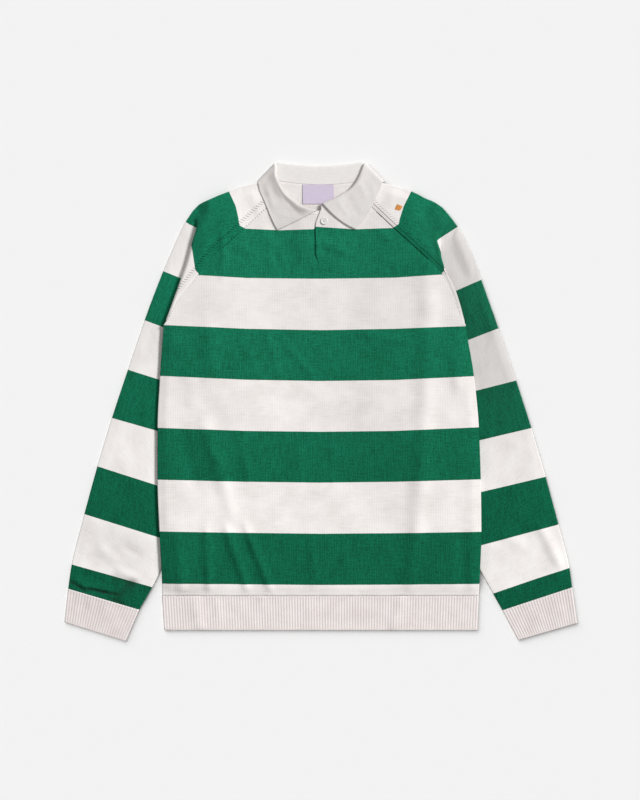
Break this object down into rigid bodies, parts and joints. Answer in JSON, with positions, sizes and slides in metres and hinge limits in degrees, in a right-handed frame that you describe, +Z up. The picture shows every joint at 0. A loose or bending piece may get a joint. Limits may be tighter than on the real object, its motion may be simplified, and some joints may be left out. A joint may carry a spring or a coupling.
{
  "type": "knit polo shirt, lying flat",
  "caption": "Long-sleeved raglan knit polo shirt lying flat, wide stripes, soft collar, one-button placket, ribbed hem and cuffs",
  "frame": {"origin": "on the surface it lies on, under the middle of the shirt's bounding box", "axes": "+X to the viewer's right across the shirt, +Y from the hem to the collar, +Z up off the surface"},
  "size_m": [0.8302, 0.7762, 0.0132],
  "materials": {
    "body_jersey": "knitted jersey, green and off-white stripes",
    "back_jersey": "knitted jersey, green and off-white stripes",
    "sleeve_left_jersey": "knitted jersey, green and off-white stripes",
    "sleeve_right_jersey": "knitted jersey, green and off-white stripes",
    "hem_rib": "one-by-one rib, off-white",
    "cuff_left_rib": "one-by-one rib, off-white",
    "cuff_right_rib": "one-by-one rib, off-white",
    "collar_knit": "firm fine knit, off-white",
    "placket_knit": "knitted jersey",
    "button_plastic": "polished off-white plastic",
    "label_weave": "smooth woven tape, lilac, bare"
  },
  "bodies": {
    "root": {"front_body": "body_jersey", "back_body": "back_jersey", "sleeve_left": "sleeve_left_jersey", "sleeve_right": "sleeve_right_jersey", "hem_rib": "hem_rib", "cuff_left": "cuff_left_rib", "cuff_right": "cuff_right_rib", "collar": "collar_knit", "placket_underlap": "placket_knit", "button": "button_plastic", "neck_label": "label_weave"}
  },
  "joints": []
}
